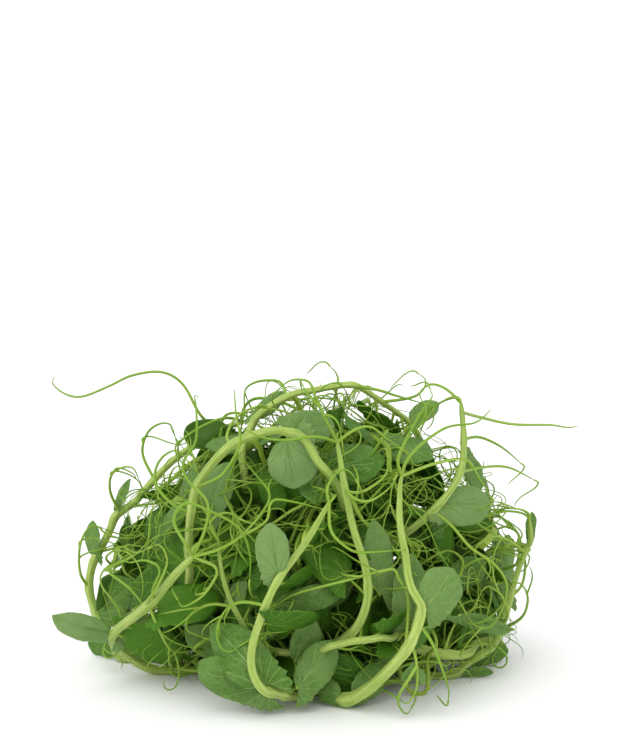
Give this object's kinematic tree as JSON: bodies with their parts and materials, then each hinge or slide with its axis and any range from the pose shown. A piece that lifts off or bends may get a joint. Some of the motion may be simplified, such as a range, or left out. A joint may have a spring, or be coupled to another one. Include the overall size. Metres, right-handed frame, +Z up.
{
  "type": "heap of pea shoots",
  "caption": "Tangled heap of cut pea shoots with clasping leaves and curling tendrils, lying loose on a surface.",
  "frame": {"origin": "on the resting surface, under the middle of the heap's bounding box", "axes": "+Z up, the pictured side faces -Y, +X to its right"},
  "size_m": [0.1373, 0.1016, 0.082],
  "materials": {
    "stem_green": "fresh pale green stem with a soft waxy sheen",
    "leaf_green": "fresh matt green leaf with a fine bloom and pale veins"
  },
  "bodies": {
    "root": {"shoot_arch": "stem_green", "shoot_diagonal": "stem_green", "shoot_centre": "stem_green", "shoot_right_front": "stem_green", "shoot_left_front": "stem_green", "shoot_top": "stem_green", "shoot_right_tall": "stem_green", "shoot_right_rim": "stem_green", "shoot_right_low": "stem_green", "shoot_left_small": "stem_green", "shoot_inner_pale": "stem_green", "shoot_behind_arch": "stem_green", "shoot_left_rim": "stem_green", "shoot_cross_low": "stem_green", "shoot_loose_01": "leaf_green", "shoot_loose_02": "leaf_green", "shoot_loose_03": "leaf_green", "shoot_loose_04": "leaf_green", "shoot_loose_05": "leaf_green", "shoot_loose_06": "leaf_green", "shoot_loose_07": "leaf_green", "shoot_loose_08": "leaf_green", "shoot_loose_09": "leaf_green", "shoot_loose_10": "leaf_green", "shoot_loose_11": "leaf_green"}
  },
  "joints": []
}
